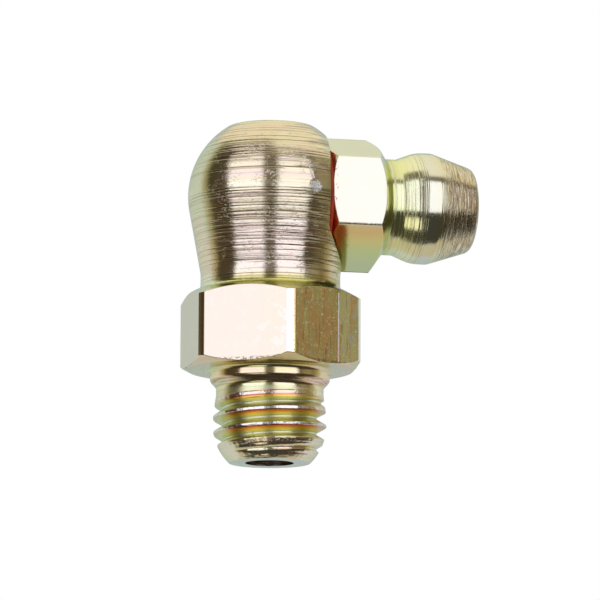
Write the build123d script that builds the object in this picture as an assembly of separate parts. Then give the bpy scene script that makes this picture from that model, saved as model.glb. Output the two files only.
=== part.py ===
"""Angled grease nipple: a threaded elbow body, a coupling nipple set in its head at 90 degrees, a red seal
between them, and the ball and spring that close the nipple's mouth.

Millimetres. +Z runs up the thread axis. The origin is on that axis, in the plane of the hexagon's underside,
which is the face that seats on the machine. The coupling nipple points along +X.
"""

import os
from math import ceil, cos, pi, radians, sin, sqrt, tan

from build123d import *

# ---- threaded shank of the elbow: a 1/4-28 thread that starts in a rounded lead-in and fades out above ----
THREAD_PITCH = 0.907
THREAD_CREST_RADIUS = 3.27
THREAD_ROOT_RADIUS = 2.70
THREAD_ROOT_FLAT = 0.10
THREAD_FLANK_ANGLE = 30.0
THREAD_TURN = -13.3
THREAD_FIRST_ROOT = -2.76
THREAD_FADE_START = -2.75
THREAD_FADE_LENGTH = 1.70
THREAD_FADE_POWER = 1.5
THREAD_CUTTER_OVERRUN = 0.09
SHANK_LENGTH = 5.34
SHANK_NECK_RADIUS = 3.10
SHANK_NECK_END = 1.45
SHANK_RISE_END = 2.70
LEAD_IN_START = 3.15
LEAD_IN_RADIUS = 3.05

# ---- collar under the hexagon ----
COLLAR_RADIUS = 3.46
COLLAR_HEIGHT = 0.62
COLLAR_TAPER_END = 1.08
COLLAR_FILLET = 0.30

# ---- hexagon of the elbow, 3/8 inch across flats, its corners turned down to a cylinder ----
HEX_ACROSS_FLATS = 9.525
HEX_CORNER_RADIUS = 5.37
HEX_BEVEL_ANGLE = 30.0
HEX_CORNER_TOP = 4.03
HEX_BEVEL_INNER_RADIUS = 4.50

# ---- turned head of the elbow ----
NECK_RADIUS = 4.04
HEAD_RADIUS = 4.80
HEAD_HEIGHT = 10.18
HEAD_CONE_ANGLE = 10.5
HEAD_FLAT_RISE = 4.11
HEAD_TOP_ROUND = 0.50

# ---- grease channel, socket and spot face of the elbow ----
CHANNEL_RADIUS = 1.395
DRILL_POINT_ANGLE = 118.0
SOCKET_HEIGHT = 9.91
SOCKET_BOTTOM = 0.55
SPOT_FACE_REACH = 2.61
SPOT_FACE_CLEARANCE = 0.09

# ---- coupling nipple, turned from 7 mm hexagon bar ----
STUB_RADIUS = 2.50
STUB_CLEARANCE = 0.02
STUB_END = 0.85
STUB_CHAMFER = 0.20
NIPPLE_ACROSS_FLATS = 6.95
NIPPLE_HEX_TURN = 5.0
NIPPLE_BACK_RADIUS = 3.28
NIPPLE_BACK_BEVEL = 30.0
NIPPLE_HEX_LENGTH = 3.31
NIPPLE_FRONT_BEVEL = 55.0
NIPPLE_NECK_RADIUS = 2.80
NIPPLE_NECK_LENGTH = 1.24
COUPLING_BACK_ANGLE = 22.0
COUPLING_RADIUS = 3.25
COUPLING_LAND_LENGTH = 2.05
COUPLING_CONE_ANGLE = 18.2
COUPLING_CONE_LENGTH = 2.51
NECK_FRONT_ROUND = 0.25
NECK_BACK_ROUND = 1.20
LAND_BACK_ROUND = 2.50
LAND_FRONT_ROUND = 0.50
TIP_ROUND = 0.40

# ---- seal between the spot face and the nipple's hexagon, swollen where it is squeezed out ----
SEAL_THICKNESS = 0.19
SEAL_RADIUS = 3.78
SEAL_SWELLING = 0.12
SEAL_BEVEL_GAP = 0.02

# ---- valve: ball on a conical seat, held shut by a spring ----
BALL_RADIUS = 1.25
BALL_SIDE_CLEARANCE = 0.10
BALL_SEAT_GAP = 0.02
MOUTH_RADIUS = 0.80
MOUTH_LENGTH = 0.53
SEAT_HALF_ANGLE = 45.0
LIP_LENGTH = 0.45
LIP_HOLE_RADIUS = 0.70
SPRING_WIRE_RADIUS = 0.14
SPRING_COIL_RADIUS = 0.95
SPRING_END_GAP = 0.01
SPRING_TURNS = 5.5

# sizes that follow from the driving ones
hex_inner = HEX_ACROSS_FLATS / 2
bevel_slope = tan(radians(HEX_BEVEL_ANGLE))
hex_top = HEX_CORNER_TOP + (HEX_CORNER_RADIUS - HEX_BEVEL_INNER_RADIUS) * bevel_slope
shank_joint = (COLLAR_TAPER_END + SHANK_NECK_END) / 2
head_top = HEAD_HEIGHT + HEAD_FLAT_RISE
socket_radius = STUB_RADIUS + STUB_CLEARANCE
nipple_inner = NIPPLE_ACROSS_FLATS / 2
nipple_corner = nipple_inner / cos(pi / 6)
nipple_back = SPOT_FACE_REACH + SEAL_THICKNESS
nipple_hex_front = nipple_back + NIPPLE_HEX_LENGTH
nipple_neck_end = nipple_hex_front + NIPPLE_NECK_LENGTH
coupling_land_end = nipple_neck_end + COUPLING_LAND_LENGTH
tip_reach = coupling_land_end + COUPLING_CONE_LENGTH
spot_face_radius = nipple_corner + SPOT_FACE_CLEARANCE
bore_radius = BALL_RADIUS + BALL_SIDE_CLEARANCE
seat_slope = tan(radians(SEAT_HALF_ANGLE))
seat_end = tip_reach - MOUTH_LENGTH
seat_start = seat_end - (bore_radius - MOUTH_RADIUS) / seat_slope
ball_touch = (BALL_RADIUS + BALL_SEAT_GAP) / cos(radians(SEAT_HALF_ANGLE))
ball_centre = seat_end - (ball_touch - MOUTH_RADIUS) / seat_slope
spring_front = (
    ball_centre - sqrt((BALL_RADIUS + SPRING_WIRE_RADIUS) ** 2 - SPRING_COIL_RADIUS**2) - SPRING_END_GAP
)
spring_back = STUB_END + LIP_LENGTH + SPRING_WIRE_RADIUS + SPRING_END_GAP

# the nipple's own frame: its z runs along +X from the thread axis
nipple_plane = Plane(origin=(0, 0, SOCKET_HEIGHT), x_dir=(0, 1, 0), z_dir=(1, 0, 0))


def turned(*edges):
    """The solid turned about Z from the edges of an outline, given as radius and height."""
    return revolve(Plane.XZ * make_face(list(edges)), Axis.Z)


def drilled(radius, start, end):
    """A drilled hole along Z from start down or up to end, with the drill's point beyond the end."""
    point = radius / tan(radians(DRILL_POINT_ANGLE / 2))
    tip = end + (point if end > start else -point)
    return turned(Polyline((0, start), (radius, start), (radius, end), (0, tip), close=True))


def shank_outline():
    """The shank before threading: neck, a short rise to the crests, then the rounded lead-in to the end."""

    def lead_in_radius(depth):
        return THREAD_CREST_RADIUS - LEAD_IN_RADIUS + sqrt(LEAD_IN_RADIUS**2 - (depth - LEAD_IN_START) ** 2)

    middle = (LEAD_IN_START + SHANK_LENGTH) / 2
    crest = (THREAD_CREST_RADIUS, -LEAD_IN_START)
    end = (lead_in_radius(SHANK_LENGTH), -SHANK_LENGTH)
    above = Polyline(
        (0, -shank_joint),
        (SHANK_NECK_RADIUS, -shank_joint),
        (SHANK_NECK_RADIUS, -SHANK_NECK_END),
        (THREAD_CREST_RADIUS, -SHANK_RISE_END),
        crest,
    )
    lead_in = ThreePointArc(crest, (lead_in_radius(middle), -middle), end)
    below = Polyline(end, (0, -SHANK_LENGTH), (0, -shank_joint))
    return above, lead_in, below


def thread_groove():
    """The groove that the thread is cut with: a V swept along a helix whose root rises out at the top."""
    steps_per_turn = 24
    turns_below = ceil((SHANK_LENGTH + THREAD_FIRST_ROOT) / THREAD_PITCH) + 1
    start = THREAD_FIRST_ROOT - THREAD_PITCH * turns_below
    stop = -shank_joint + THREAD_PITCH / 4
    outside = THREAD_CREST_RADIUS + THREAD_CUTTER_OVERRUN

    def root_radius(z):
        rise = max(0.0, z - THREAD_FADE_START) / THREAD_FADE_LENGTH
        return THREAD_ROOT_RADIUS + (outside - THREAD_ROOT_RADIUS) * rise**THREAD_FADE_POWER

    steps = int((stop - start) / THREAD_PITCH * steps_per_turn)
    route = []
    for step in range(steps + 1):
        turn = 2 * pi * step / steps_per_turn
        z = start + THREAD_PITCH * step / steps_per_turn
        route.append((root_radius(z) * cos(turn), root_radius(z) * sin(turn), z))
    root_half = THREAD_ROOT_FLAT / 2
    mouth_half = root_half + (outside - THREAD_ROOT_RADIUS) * tan(radians(THREAD_FLANK_ANGLE))
    profile = Wire.make_polygon(
        [
            (THREAD_ROOT_RADIUS, 0, start - root_half),
            (outside, 0, start - mouth_half),
            (outside, 0, start + mouth_half),
            (THREAD_ROOT_RADIUS, 0, start + root_half),
        ]
    )
    return sweep(Face(profile), path=Spline(*route), is_frenet=True)


def threaded_shank():
    """The shank with its helical thread, turned to where the thread starts."""
    rod = extrude(Circle(THREAD_CREST_RADIUS), -SHANK_LENGTH)
    shank = (rod - thread_groove()) & turned(*shank_outline())
    return shank.rotate(Axis.Z, THREAD_TURN)


def collar():
    """The collar under the hexagon, tapering to the shank's neck."""
    outline = Polyline(
        (0, -shank_joint),
        (SHANK_NECK_RADIUS, -shank_joint),
        (SHANK_NECK_RADIUS, -COLLAR_TAPER_END),
        (COLLAR_RADIUS, -COLLAR_HEIGHT),
        (COLLAR_RADIUS, -COLLAR_FILLET),
    )
    blend = ThreePointArc(
        (COLLAR_RADIUS, -COLLAR_FILLET),
        (
            COLLAR_RADIUS + COLLAR_FILLET * (1 - cos(pi / 4)),
            -COLLAR_FILLET * (1 - sin(pi / 4)),
        ),
        (COLLAR_RADIUS + COLLAR_FILLET, 0),
    )
    return turned(outline, blend, Polyline((COLLAR_RADIUS + COLLAR_FILLET, 0), (0, 0), (0, -shank_joint)))


def elbow_hexagon():
    """The wrench hexagon: hexagon bar turned down at its corners and bevelled at both ends."""
    bar = RegularPolygon(hex_inner, 6, major_radius=False, rotation=30)
    blank = turned(
        Polyline(
            (0, 0),
            (hex_inner, 0),
            (HEX_CORNER_RADIUS, (HEX_CORNER_RADIUS - hex_inner) * bevel_slope),
            (HEX_CORNER_RADIUS, HEX_CORNER_TOP),
            (HEX_BEVEL_INNER_RADIUS, hex_top),
            (0, hex_top),
            close=True,
        )
    )
    return extrude(bar, hex_top) & blank


def elbow_head():
    """The turned head: a blended neck, a cone that runs tangent into the ball, and a flat top."""
    cone = radians(HEAD_CONE_ANGLE)
    blend = HEX_BEVEL_INNER_RADIUS - NECK_RADIUS
    neck_top = HEAD_HEIGHT + (NECK_RADIUS * cos(cone) - HEAD_RADIUS) / sin(cone)
    ball_start = (HEAD_RADIUS * cos(cone), HEAD_HEIGHT - HEAD_RADIUS * sin(cone))
    flat_radius = sqrt(HEAD_RADIUS**2 - HEAD_FLAT_RISE**2)
    base = Polyline((NECK_RADIUS, hex_top + blend), (NECK_RADIUS, neck_top), ball_start)
    neck_blend = ThreePointArc(
        (HEX_BEVEL_INNER_RADIUS, hex_top),
        (
            HEX_BEVEL_INNER_RADIUS - blend * sin(pi / 4),
            hex_top + blend * (1 - cos(pi / 4)),
        ),
        (NECK_RADIUS, hex_top + blend),
    )
    ball = ThreePointArc(ball_start, (HEAD_RADIUS, HEAD_HEIGHT), (flat_radius, head_top))
    close = Polyline((flat_radius, head_top), (0, head_top), (0, hex_top), (HEX_BEVEL_INNER_RADIUS, hex_top))
    head = turned(neck_blend, base, ball, close)
    rim = head.edges().filter_by(GeomType.CIRCLE).sort_by(Axis.Z)[-1]
    return fillet(rim, HEAD_TOP_ROUND)


def elbow_body():
    """The whole elbow, one piece: shank, collar, hexagon and head, with its channel, socket and spot face."""
    upper = collar() + elbow_hexagon() + elbow_head()
    body = threaded_shank() + upper
    channel = drilled(CHANNEL_RADIUS, -SHANK_LENGTH, SOCKET_HEIGHT)
    socket = nipple_plane * drilled(socket_radius, HEAD_RADIUS, SOCKET_BOTTOM)
    spot_face = nipple_plane * Pos(0, 0, SPOT_FACE_REACH) * extrude(Circle(spot_face_radius), HEAD_RADIUS)
    return body - channel - socket - spot_face


def nipple_outside():
    """The nipple's outside: stub, hexagon, neck and the coupling head that a grease gun grips."""
    back_slope = tan(radians(NIPPLE_BACK_BEVEL))
    front_slope = tan(radians(NIPPLE_FRONT_BEVEL))
    outside = nipple_corner
    stub = Polyline(
        (0, STUB_END),
        (STUB_RADIUS - STUB_CHAMFER, STUB_END),
        (STUB_RADIUS, STUB_END + STUB_CHAMFER),
        (STUB_RADIUS, nipple_back),
        (NIPPLE_BACK_RADIUS, nipple_back),
        (outside, nipple_back + (outside - NIPPLE_BACK_RADIUS) * back_slope),
        (outside, nipple_hex_front - (outside - nipple_inner) / front_slope),
    )
    tip_radius = COUPLING_RADIUS - (tip_reach - coupling_land_end) * tan(radians(COUPLING_CONE_ANGLE))
    land_start = nipple_neck_end + (COUPLING_RADIUS - NIPPLE_NECK_RADIUS) / tan(radians(COUPLING_BACK_ANGLE))
    head = FilletPolyline(
        stub @ 1,
        (NIPPLE_NECK_RADIUS, nipple_hex_front + (nipple_inner - NIPPLE_NECK_RADIUS) / front_slope),
        (NIPPLE_NECK_RADIUS, nipple_neck_end),
        (COUPLING_RADIUS, land_start),
        (COUPLING_RADIUS, coupling_land_end),
        (tip_radius, tip_reach),
        (0, tip_reach),
        radius=[NECK_FRONT_ROUND, NECK_BACK_ROUND, LAND_BACK_ROUND, LAND_FRONT_ROUND, TIP_ROUND],
    )
    blank = turned(stub, head, Polyline((0, tip_reach), (0, STUB_END)))
    bar = RegularPolygon(nipple_inner, 6, major_radius=False, rotation=-90 - NIPPLE_HEX_TURN)
    return blank & extrude(bar, tip_reach)


def nipple_body():
    """The coupling nipple, with its bore, the ball's conical seat, and the lip staked behind the spring."""
    lip_end = STUB_END + LIP_LENGTH
    bore = turned(
        Polyline(
            (0, STUB_END),
            (LIP_HOLE_RADIUS, STUB_END),
            (LIP_HOLE_RADIUS, lip_end),
            (bore_radius, lip_end),
            (bore_radius, seat_start),
            (MOUTH_RADIUS, seat_end),
            (MOUTH_RADIUS, tip_reach),
            (0, tip_reach),
            close=True,
        )
    )
    return nipple_plane * (nipple_outside() - bore)


def seal_ring():
    """The flat seal, squeezed between the spot face and the hexagon and swollen under the hexagon's bevel."""
    swollen = nipple_back + SEAL_SWELLING
    swelling_start = NIPPLE_BACK_RADIUS + (SEAL_SWELLING + SEAL_BEVEL_GAP) / tan(radians(NIPPLE_BACK_BEVEL))
    rim = SEAL_RADIUS - (swollen - SPOT_FACE_REACH) / 2
    middle = (swollen + SPOT_FACE_REACH) / 2
    inside = Polyline(
        (rim, SPOT_FACE_REACH),
        (socket_radius, SPOT_FACE_REACH),
        (socket_radius, nipple_back),
        (NIPPLE_BACK_RADIUS, nipple_back),
        (swelling_start, swollen),
        (rim, swollen),
    )
    bulge = ThreePointArc((rim, swollen), (SEAL_RADIUS, middle), (rim, SPOT_FACE_REACH))
    return nipple_plane * turned(inside, bulge)


def check_ball():
    """The ball that shuts the nipple's mouth."""
    return nipple_plane * Pos(0, 0, ball_centre) * Sphere(BALL_RADIUS)


def ball_spring():
    """The compression spring between the staked lip and the ball."""
    length = spring_front - spring_back
    coil = Helix(pitch=length / SPRING_TURNS, height=length, radius=SPRING_COIL_RADIUS)
    wire = Plane(origin=coil @ 0, z_dir=coil % 0) * Circle(SPRING_WIRE_RADIUS)
    return nipple_plane * Pos(0, 0, spring_back) * sweep(wire, path=coil, is_frenet=True)


if __name__ == "__main__":
    os.makedirs("parts", exist_ok=True)
    pieces = {
        "elbow_body": elbow_body(),
        "nipple_body": nipple_body(),
        "seal_ring": seal_ring(),
        "check_ball": check_ball(),
        "ball_spring": ball_spring(),
    }
    for name, piece in pieces.items():
        piece.label = name
        export_step(piece, f"parts/{name}.step")
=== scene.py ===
"""Looks of a right-angle grease nipple: plated elbow, coupling nipple, red seal, ball and spring."""

from math import acos, asin, atan2, cos, degrees, pi, radians, sin, sqrt, tan

import bmesh
import bpy
import numpy as np
from mathutils import Matrix, Vector


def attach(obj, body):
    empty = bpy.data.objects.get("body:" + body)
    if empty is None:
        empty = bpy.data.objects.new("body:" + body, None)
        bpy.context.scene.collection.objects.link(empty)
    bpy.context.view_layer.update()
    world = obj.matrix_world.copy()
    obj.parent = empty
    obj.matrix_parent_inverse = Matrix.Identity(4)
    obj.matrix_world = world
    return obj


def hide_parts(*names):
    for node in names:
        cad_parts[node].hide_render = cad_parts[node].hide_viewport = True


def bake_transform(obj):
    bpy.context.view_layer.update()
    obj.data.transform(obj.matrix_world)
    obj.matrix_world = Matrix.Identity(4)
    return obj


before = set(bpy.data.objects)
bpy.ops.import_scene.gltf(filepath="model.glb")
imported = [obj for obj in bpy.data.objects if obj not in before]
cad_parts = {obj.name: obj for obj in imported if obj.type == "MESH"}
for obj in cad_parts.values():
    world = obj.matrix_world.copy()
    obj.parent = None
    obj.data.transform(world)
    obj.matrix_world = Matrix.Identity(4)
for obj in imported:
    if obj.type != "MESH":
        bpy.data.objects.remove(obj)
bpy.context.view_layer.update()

# ---- sizes in millimetres, angles in degrees; z runs up the thread axis from the hexagon's underside ----
MM = 0.001

# the thread: its radii and pitch, where it starts, how it fades out at the top, and the wear of its crests
THREAD_PITCH = 0.907
THREAD_CREST = 3.27
THREAD_ROOT = 2.70
THREAD_ROOT_FLAT = 0.10
THREAD_FLANK = 30.0
THREAD_TURN = -13.3
THREAD_FIRST_ROOT = -2.76
THREAD_FADE_START = -2.75
THREAD_FADE_LENGTH = 1.70
THREAD_FADE_POWER = 1.5
THREAD_CUTTER_OVERRUN = 0.09
THREAD_SOFTNESS = 0.020
CREST_WEAR = 0.0022
CREST_WEAR_END = 0.30
CREST_SEED = 7

# the shank under the thread: its end, its neck and the round lead-in
SHANK_END = -5.34
SHANK_END_RING = 2.00
SHANK_NECK = 3.10
SHANK_NECK_END = -1.45
SHANK_RISE_END = -2.70
LEAD_IN_START = -3.15
LEAD_IN_RADIUS = 3.05

# the collar
COLLAR = 3.46
COLLAR_BOTTOM = -0.62
COLLAR_TAPER_END = -1.02
COLLAR_FILLET = 0.30

# the hexagon: half its width across flats, its turned-down corners, its bevels and its lower edge's burr
HEX_INNER = 9.525 / 2
HEX_FIRST_CORNER = 30.0
HEX_CORNER = 5.37
HEX_BEVEL = 30.0
HEX_LOWER_EDGE = 0.02
HEX_CORNER_TOP = 4.03
HEX_TOP_RADIUS = 4.50
HEX_TOP = HEX_CORNER_TOP + (HEX_CORNER - HEX_TOP_RADIUS) * tan(radians(HEX_BEVEL))
BURR = 0.022
BURR_SEED = 11

# the head: the blend over the hexagon, the neck, the cone, the ball and the flat on its top
BLEND_LEAD_WIDTH = 0.10
BLEND_LEAD_RISE = 0.02
BLEND_START = 262.0
BLEND_CLEARANCE = 0.05
NECK = 4.04
NECK_SOFTNESS = 0.012
HEAD = 4.80
HEAD_HEIGHT = 10.18
HEAD_CONE = 10.5
HEAD_FLAT_RISE = 4.11
HEAD_TOP = HEAD_HEIGHT + HEAD_FLAT_RISE
HEAD_TOP_ROUND = 0.50

# what is cut into the elbow: the grease channel, the nipple's socket and the spot face
CHANNEL = 1.395
SOCKET_HEIGHT = 9.91
SOCKET = 2.52
SOCKET_BOTTOM = 0.55
SPOT_FACE = 2.61
SPOT_FACE_RADIUS = 4.103
SPOT_CUTTER_END = 6.00
CUTTER_OVERRUN = 1.00
DRILL_POINT = 59.0

# the nipple's stub, the seal and the nipple's hexagon, by how far out from the thread axis
STUB = 2.50
STUB_END = 0.85
STUB_CHAMFER = 0.20
SEAL_TOP = 2.92
SEAL_RADIUS = 3.78
SEAL_BEVEL_GAP = 0.02
NIPPLE_INNER = 6.95 / 2
NIPPLE_TURN = 5.0
NIPPLE_BACK = 2.80
NIPPLE_BACK_RADIUS = 3.28
NIPPLE_BACK_BEVEL = 30.0
NIPPLE_FRONT = 6.11
NIPPLE_FRONT_BEVEL = 55.0
NIPPLE_CORNER_ROUND = 0.07

# the nipple's neck and coupling head: the back, the land, the cone and the tip
NIPPLE_NECK = 2.80
NIPPLE_NECK_END = 7.35
COUPLING_BACK = 22.0
COUPLING = 3.25
COUPLING_LAND_END = 9.40
COUPLING_CONE = 18.2
TIP = 11.905

# inside the nipple: the ball, its bore and mouth, and the staked lip
BALL = 1.25
BALL_PLACE = 10.384
BORE = 1.35
MOUTH = 0.80
MOUTH_START = 11.38
MOUTH_LEAD = 0.30
LIP_END = 1.30
LIP_HOLE = 0.70

# roundings of the coupling nipple, from its front bevel's foot to its tip's edge, as radius and steps
COUPLING_ROUNDINGS = [(0.25, 8), (0.40, 8), (2.50, 18), (0.50, 8), (0.40, 10)]
TIP_EDGE = 0.12

# how finely the skins are divided
ROWS_PER_PITCH = 20
HEAD_ROW_SPACING = 0.075
COUPLING_ROW_SPACING = 0.06
HEX_CORNER_COLUMNS = 4
HEX_FLAT_COLUMNS = 30
NIPPLE_CORNER_COLUMNS = 8
NIPPLE_FLAT_COLUMNS = 22
DRILL_COLUMNS = 145
ROUND_COLUMNS = 241
BALL_COLUMNS = 121
BALL_ROWS = 60
FILLET_STEPS = 8
BLEND_STEPS = 10
SEAL_STEPS = 12
TOP_RINGS = 7
ACROSS_MARK = (-0.75, -0.4, -0.15, 0.15, 0.4, 0.75)
MERGED_WITHIN = 0.00002

# how far the skins' edges are eased, from which angle they are shaded sharp, and how flat large faces look
EDGE_SOFTNESS = 0.045
COLLAR_SOFTNESS = 0.110
NIPPLE_SOFTNESS = 0.030
BORE_SOFTNESS = 0.050
EDGE_STEPS = 5
SHARP = 24.0
FLATNESS = 60

# turning marks that stand out, as height up the head or reach along the nipple, depth and width
HEAD_MARKS = [
    (5.86, 0.007, 0.030),
    (6.09, 0.006, 0.025),
    (6.43, 0.008, 0.030),
    (6.71, 0.012, 0.035),
    (7.02, 0.005, 0.040),
    (7.20, 0.006, 0.030),
    (7.40, 0.008, 0.030),
    (7.77, 0.016, 0.060),
    (8.14, 0.009, 0.030),
    (8.24, 0.012, 0.035),
    (8.58, 0.005, 0.025),
    (8.93, 0.010, 0.030),
    (9.10, 0.006, 0.025),
    (9.41, 0.006, 0.025),
    (9.61, 0.011, 0.035),
    (9.78, 0.014, 0.045),
    (9.94, 0.010, 0.030),
    (11.18, 0.011, 0.032),
    (11.55, 0.005, 0.025),
    (12.02, 0.008, 0.030),
    (12.21, 0.012, 0.032),
    (12.52, 0.006, 0.025),
    (12.84, 0.009, 0.032),
    (13.11, 0.008, 0.030),
]
COUPLING_MARKS = [
    (6.62, 0.005, 0.030),
    (6.86, 0.004, 0.025),
    (7.55, 0.004, 0.025),
    (7.90, 0.006, 0.030),
    (8.21, 0.010, 0.035),
    (8.40, 0.005, 0.025),
    (8.54, 0.009, 0.030),
    (8.66, 0.007, 0.025),
    (9.60, 0.006, 0.030),
    (9.78, 0.008, 0.030),
    (9.95, 0.007, 0.030),
    (10.20, 0.005, 0.030),
    (10.62, 0.006, 0.030),
    (11.06, 0.005, 0.025),
]
DEEP_MARK = 0.012

# how far the side that is taken as the part's front is turned round from -Y
FRONT_TURN = -13.3

# ---- camera ----
VIEW_AZIMUTH = FRONT_TURN
VIEW_ELEVATION = -9.0
VIEW_ROLL = 0.25
VIEW_DISTANCE = 280.0
VIEW_WIDTH = 34.68
VIEW_CENTRE = (1.671, -0.395, 4.166)
SENSOR_WIDTH = 36.0
NEAREST_SEEN = 10.0
FARTHEST_SEEN = 20000.0

# ---- studio and floor ----
STUDIO_TIP = 28.0
FLOOR_REACH = 3000.0
FLOOR_LEVEL = -100.0
FLOOR_WHITE = (0.9, 0.9, 0.9)
FLOOR_ROUGHNESS = 0.8


# =================================== mesh helpers ===================================


def hexagon_columns(first_corner, reach, corner_columns, flat_columns):
    """Angles of the columns of a hexagonal skin, with columns of their own within reach of each corner."""
    angles = []
    for side in range(6):
        corner = first_corner + side * pi / 3
        angles.extend(np.linspace(corner - reach, corner + reach, corner_columns, endpoint=False))
        angles.extend(np.linspace(corner + reach, corner + pi / 3 - reach, flat_columns, endpoint=False))
    angles.append(angles[0] + 2 * pi)
    return np.array(angles)


def off_corner(angles, first_corner):
    """How far each angle lies from the nearest corner of the hexagon, in radians."""
    return np.abs((angles - first_corner + pi / 6) % (pi / 3) - pi / 6)


def hexagon_flats(angles, inner, first_corner):
    """Distance from the axis to the flats of a sharp hexagon, at each angle."""
    return inner / np.cos(pi / 6 - off_corner(angles, first_corner))


def rounded_reach(inner, rounding):
    """How far round from a corner, in radians, the corner's rounding reaches on a hexagon."""
    return pi / 6 - atan2((inner - rounding) * tan(pi / 6), inner)


def rounded_hexagon(angles, inner, rounding, first_corner):
    """Distance from the axis to a hexagon with rounded corners, at each angle."""
    apart = off_corner(angles, first_corner)
    centre = (inner - rounding) / cos(pi / 6)
    under = np.clip(rounding**2 - (centre * np.sin(apart)) ** 2, 0, None)
    arc = centre * np.cos(apart) + np.sqrt(under)
    return np.where(apart < rounded_reach(inner, rounding), arc, hexagon_flats(angles, inner, first_corner))


def arc_points(centre, radius, start, end, steps):
    """Points (radius, height) along an arc, from the start to the end angle in degrees."""
    turns = np.radians(np.linspace(start, end, steps + 1))
    return [(centre[0] + radius * cos(turn), centre[1] + radius * sin(turn)) for turn in turns]


def as_rows(points, columns):
    """Each point of an outline, as a row with one (radius, height) pair for each column."""
    return [np.array([np.broadcast_to(part, columns) for part in point]) for point in points]


def softened(rows, reach=EDGE_SOFTNESS):
    """The rows of an outline with every corner between them eased over a short reach."""
    eased = [rows[0]]
    for before, corner, after in zip(rows, rows[1:], rows[2:]):
        back, ahead = before - corner, after - corner
        back_length = np.linalg.norm(back, axis=0)
        ahead_length = np.linalg.norm(ahead, axis=0)
        ease = np.minimum(reach, 0.45 * np.minimum(back_length, ahead_length))
        start = corner + back * ease / np.maximum(back_length, 1e-9)
        end = corner + ahead * ease / np.maximum(ahead_length, 1e-9)
        for step in range(EDGE_STEPS + 1):
            t = step / EDGE_STEPS
            eased.append((1 - t) ** 2 * start + 2 * t * (1 - t) * corner + t**2 * end)
    eased.append(rows[-1])
    return eased


def worn_round(angles, seed):
    """A share from 0.15 to 1.1 that comes and goes round the axis, as a worn tool mark does."""
    draws = np.random.default_rng(seed)
    share = 0.62
    for waves in (1, 2, 3, 5, 8, 13):
        share = share + draws.uniform(0.08, 0.20) * np.cos(waves * angles + draws.uniform(0, 2 * pi))
    return np.clip(share, 0.15, 1.1)


def marked(places, radii, marks, angles):
    """Rows at the places, with radii less the depth of the marks, which come and go round the axis."""
    depth = np.zeros((len(places), len(angles)))
    for number, (place, deep, wide) in enumerate(marks):
        across = np.exp(-(((places - place) / (wide / 2)) ** 2))
        depth += deep * across[:, None] * worn_round(angles, number)[None, :]
    return as_rows([(radius - cut, place) for radius, cut, place in zip(radii, depth, places)], len(angles))


def places_between(start, end, spacing, marks):
    """Places from start to end at about the spacing, with closer ones across each mark."""
    places = list(np.linspace(start, end, int((end - start) / spacing) + 1))
    for place, _, wide in marks:
        if start + wide < place < end - wide:
            places = [other for other in places if abs(other - place) > 0.8 * wide]
            places.extend(place + wide * share for share in ACROSS_MARK)
    return np.array(sorted(places))


def skin(name, rows, angles, placed=Matrix()):
    """A closed mesh through rows of (radius, height) pairs, turned about z, then placed."""
    radius = np.array([row[0] for row in rows])
    height = np.array([row[1] for row in rows])
    points = np.stack([radius * np.cos(angles), radius * np.sin(angles), height], axis=-1) * MM
    count, columns = radius.shape
    first = np.arange(count - 1)[:, None] * columns + np.arange(columns - 1)[None, :]
    quads = np.stack([first, first + 1, first + columns + 1, first + columns], axis=-1).reshape(-1, 4)
    mesh = bpy.data.meshes.new(name)
    mesh.from_pydata(points.reshape(-1, 3).tolist(), [], quads.tolist())
    work = bmesh.new()
    work.from_mesh(mesh)
    bmesh.ops.remove_doubles(work, verts=work.verts, dist=MERGED_WITHIN * MM)
    bmesh.ops.dissolve_degenerate(work, edges=work.edges, dist=MERGED_WITHIN * MM)
    bmesh.ops.recalc_face_normals(work, faces=work.faces)
    work.to_mesh(mesh)
    work.free()
    mesh.transform(placed)
    piece = bpy.data.objects.new(name, mesh)
    bpy.context.scene.collection.objects.link(piece)
    return piece


def applied(piece):
    """Replaces the piece's mesh by what its modifiers make of it."""
    graph = bpy.context.evaluated_depsgraph_get()
    mesh = bpy.data.meshes.new_from_object(piece.evaluated_get(graph), depsgraph=graph)
    piece.modifiers.clear()
    piece.data = mesh
    return piece


def cut(piece, *cutters):
    """Cuts the cutters out of the piece and removes them."""
    for cutter in cutters:
        change = piece.modifiers.new("cut", "BOOLEAN")
        change.operation = "DIFFERENCE"
        change.solver = "EXACT"
        change.object = cutter
    applied(piece)
    for cutter in cutters:
        bpy.data.objects.remove(cutter)
    return piece


def shaded(piece):
    """Shades the piece smoothly except across sharp edges, with the large faces kept flat."""
    piece.data.shade_smooth()
    piece.data.set_sharp_from_angle(angle=radians(SHARP))
    weighting = piece.modifiers.new("weighting", "WEIGHTED_NORMAL")
    weighting.keep_sharp = True
    weighting.weight = FLATNESS
    return applied(piece)


# the nipple's own frame: its z runs along the CAD's +X from the thread axis
ALONG_X = Matrix(((0, 0, 1, 0), (1, 0, 0, 0), (0, 1, 0, SOCKET_HEIGHT * MM), (0, 0, 0, 1)))


# =================================== the elbow ===================================


def smooth_min(a, b, softness):
    """The smaller of two values, with the corner between them eased."""
    return -softness * np.logaddexp(-a / softness, -b / softness)


def smooth_max(a, b, softness):
    """The larger of two values, with the corner between them eased."""
    return softness * np.logaddexp(a / softness, b / softness)


def shank_envelope(height):
    """Radius of the shank's crests: the neck, the rise to full crests and the rounded lead-in."""
    rise = (height - SHANK_RISE_END) / (SHANK_NECK_END - SHANK_RISE_END)
    neck_side = THREAD_CREST + (SHANK_NECK - THREAD_CREST) * np.clip(rise, 0, 1)
    down = np.clip(LEAD_IN_START - height, 0, None)
    return neck_side - LEAD_IN_RADIUS + np.sqrt(LEAD_IN_RADIUS**2 - down**2)


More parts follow.
